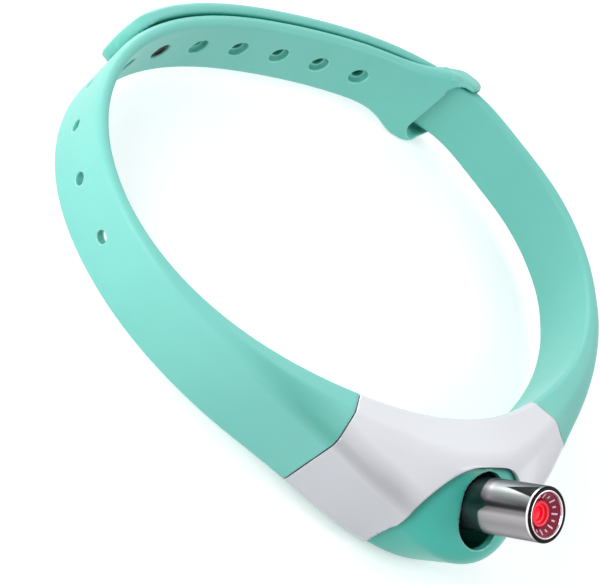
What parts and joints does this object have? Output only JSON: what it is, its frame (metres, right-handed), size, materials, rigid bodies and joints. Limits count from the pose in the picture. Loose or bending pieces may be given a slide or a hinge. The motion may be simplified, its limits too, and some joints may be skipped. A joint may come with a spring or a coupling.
{
  "type": "laser pointer pet collar",
  "caption": "Silicone pet collar with keeper and stud fastening and a two-shell pod whose battery-driven laser barrel tilts in a sloping slot.",
  "frame": {"origin": "middle of the ring's opening, half way up the strap's width, on the axis that the oval is measured from", "axes": "+Z along the axis of the ring, up as it lies on a table; -Y from the ring's middle to the pod; +X to the side of the short strap"},
  "size_m": [0.1138, 0.1089, 0.031],
  "materials": {
    "green_silicone": "satin moulded silicone",
    "green_abs": "satin moulded plastic",
    "white_abs": "glossy moulded plastic",
    "chrome_tube": "polished, plated",
    "bright_bezel": "turned and polished",
    "magenta_ring": "glossy, printed ticks",
    "red_lens": "clear red, lit",
    "dark_metal": "dark plated",
    "steel_pin": "drawn wire",
    "black_plastic": "moulded",
    "module_brass": "turned",
    "diode_can": "plated can",
    "circuit_board": "solder resist",
    "socket_shell": "folded sheet",
    "led_body": "clear moulded",
    "cell_foil": "foil pouch",
    "pad_foam": "foam",
    "lead_sheath": "extruded sheath"
  },
  "bodies": {
    "collar": {"strap_long": "green_silicone", "strap_short": "green_silicone", "stud_cap": "green_silicone", "pod_body": "green_abs", "back_plate": "green_abs", "front_cover": "white_abs", "clasp_stud": "dark_metal", "strap_pins": "steel_pin", "pivot_pins": "steel_pin", "back_plate_screws": "steel_pin", "board_screw": "steel_pin", "friction_washers": "black_plastic", "tact_switch": "black_plastic", "main_board": "circuit_board", "charging_socket": "socket_shell", "status_led": "led_body", "battery_cell": "cell_foil", "battery_pad": "pad_foam", "back_plate_gasket": "pad_foam", "laser_lead": "lead_sheath", "battery_lead": "lead_sheath"},
    "barrel": {"barrel_sleeve": "chrome_tube", "front_bezel": "bright_bezel", "marked_ring": "magenta_ring", "laser_lens": "red_lens", "laser_module": "module_brass", "module_holder": "black_plastic", "laser_diode": "diode_can", "driver_board": "circuit_board", "rear_plug": "black_plastic", "swivel_collar": "black_plastic", "module_lead": "lead_sheath"},
    "button": {"power_button": "black_plastic"},
    "plunger": {"switch_plunger": "black_plastic"},
    "flap": {"socket_flap": "green_silicone"}
  },
  "joints": [
    {"name": "barrel_tilt", "type": "hinge", "parent": "collar", "child": "barrel", "pos_m": [0, -0.05023, -0.00034], "axis": [1, 0, 0], "range_deg": [-3, 16]},
    {"name": "power_press", "type": "slide", "parent": "collar", "child": "button", "axis": [0, 0, 1], "range_m": [0, 0.0003], "stiffness_N_per_m": 400},
    {"name": "plunger_press", "type": "slide", "parent": "collar", "child": "plunger", "axis": [0, 0, 1], "range_m": [0, 0.0003]},
    {"name": "flap_swing", "type": "hinge", "parent": "collar", "child": "flap", "pos_m": [-0.01269, -0.03927, -0.0032], "axis": [-0.9672, 0.2539, 0], "range_deg": [0, 110]}
  ],
  "couplings": [
    {"joint": "plunger_press", "follows": "power_press", "ratio": 1}
  ]
}
